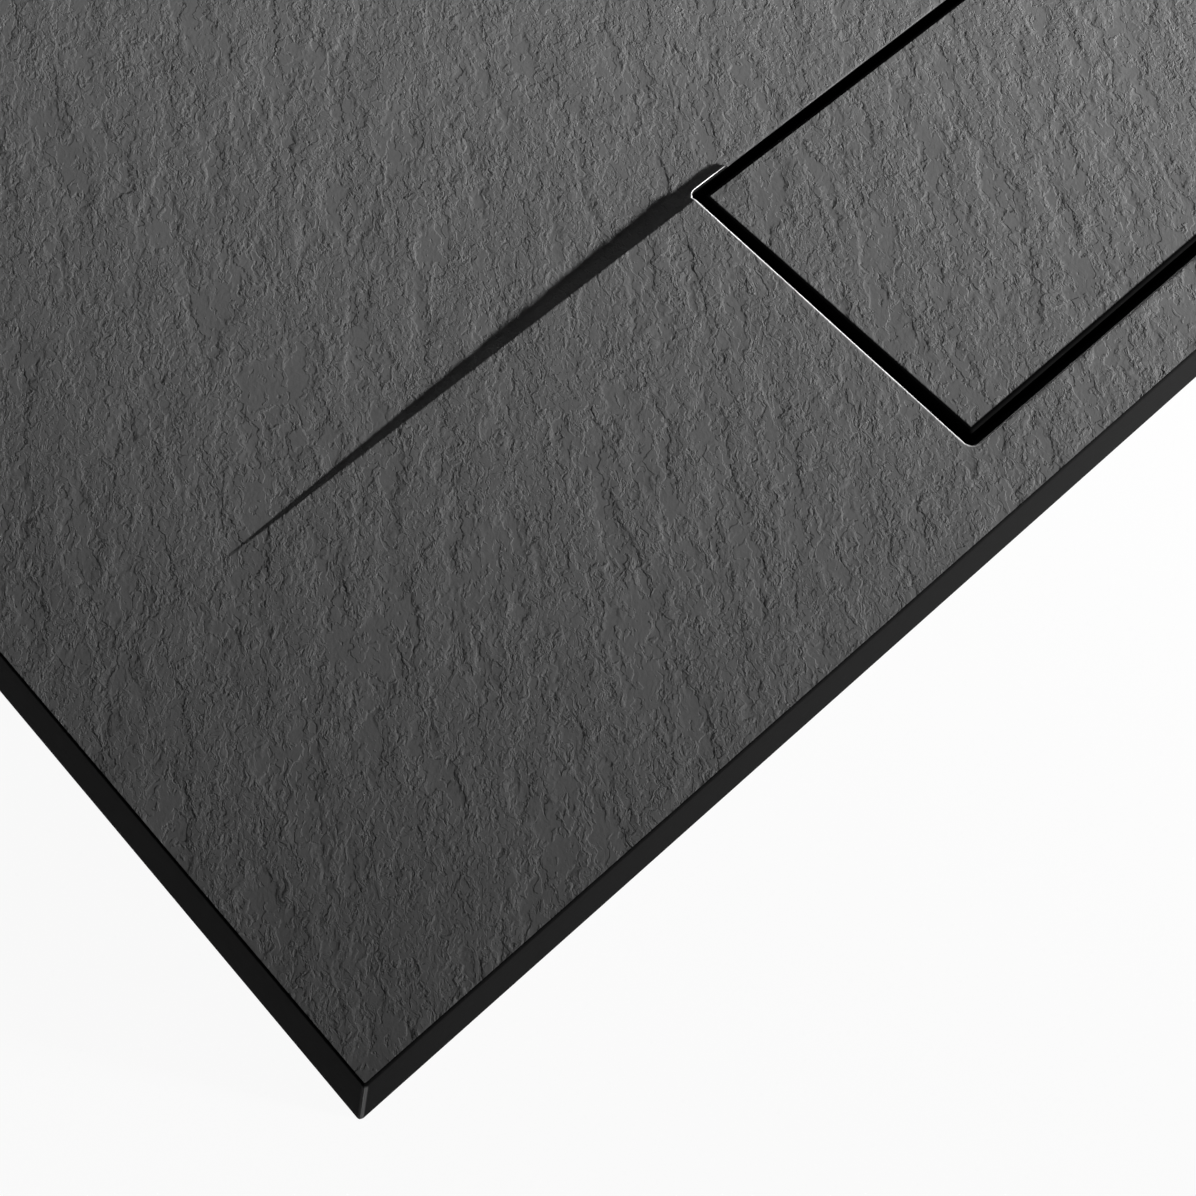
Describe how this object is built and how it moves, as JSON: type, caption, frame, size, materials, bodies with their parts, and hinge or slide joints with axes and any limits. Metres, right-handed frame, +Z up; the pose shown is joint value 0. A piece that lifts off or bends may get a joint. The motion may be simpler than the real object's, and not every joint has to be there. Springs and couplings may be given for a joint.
{
  "type": "shower tray",
  "caption": "Low rectangular shower tray with a slate-textured face, a falling floor, a flush drain cover and a waste with a lift-out trap.",
  "frame": {"origin": "centre of the tray's underside, the face that is bonded to the subfloor", "axes": "+X along the drain side, +Y from the drain side to the back, +Z up"},
  "size_m": [0.9, 1.2, 0.1119],
  "materials": {
    "slate_resin": "matte",
    "white_plastic": "satin",
    "grey_plastic": "satin",
    "black_rubber": "matte",
    "stainless_steel": "satin",
    "brass": "satin"
  },
  "bodies": {
    "tray": {"tray": "slate_resin", "waste_flange": "white_plastic", "flange_gasket": "black_rubber", "body_gasket": "black_rubber", "flange_screws": "stainless_steel", "screw_inserts": "brass", "trap_body": "white_plastic", "outlet_pipe": "white_plastic", "outlet_seal": "black_rubber", "outlet_nut": "white_plastic"},
    "cover": {"drain_cover": "slate_resin", "cover_feet": "black_rubber"},
    "strainer": {"hair_strainer": "stainless_steel"},
    "trap_insert": {"dip_tube": "grey_plastic", "insert_seal": "black_rubber", "trap_cup": "grey_plastic"}
  },
  "joints": [
    {"name": "cover_lift", "type": "slide", "parent": "tray", "child": "cover", "axis": [0, 0, 1], "range_m": [0, 0.16]},
    {"name": "strainer_lift", "type": "slide", "parent": "tray", "child": "strainer", "axis": [0, 0, 1], "range_m": [0, 0.12]},
    {"name": "insert_lift", "type": "slide", "parent": "tray", "child": "trap_insert", "axis": [0, 0, 1], "range_m": [0, 0.096]}
  ],
  "couplings": [
    {"joint": "strainer_lift", "follows": "cover_lift", "ratio": 0.75},
    {"joint": "insert_lift", "follows": "cover_lift", "ratio": 0.6}
  ]
}
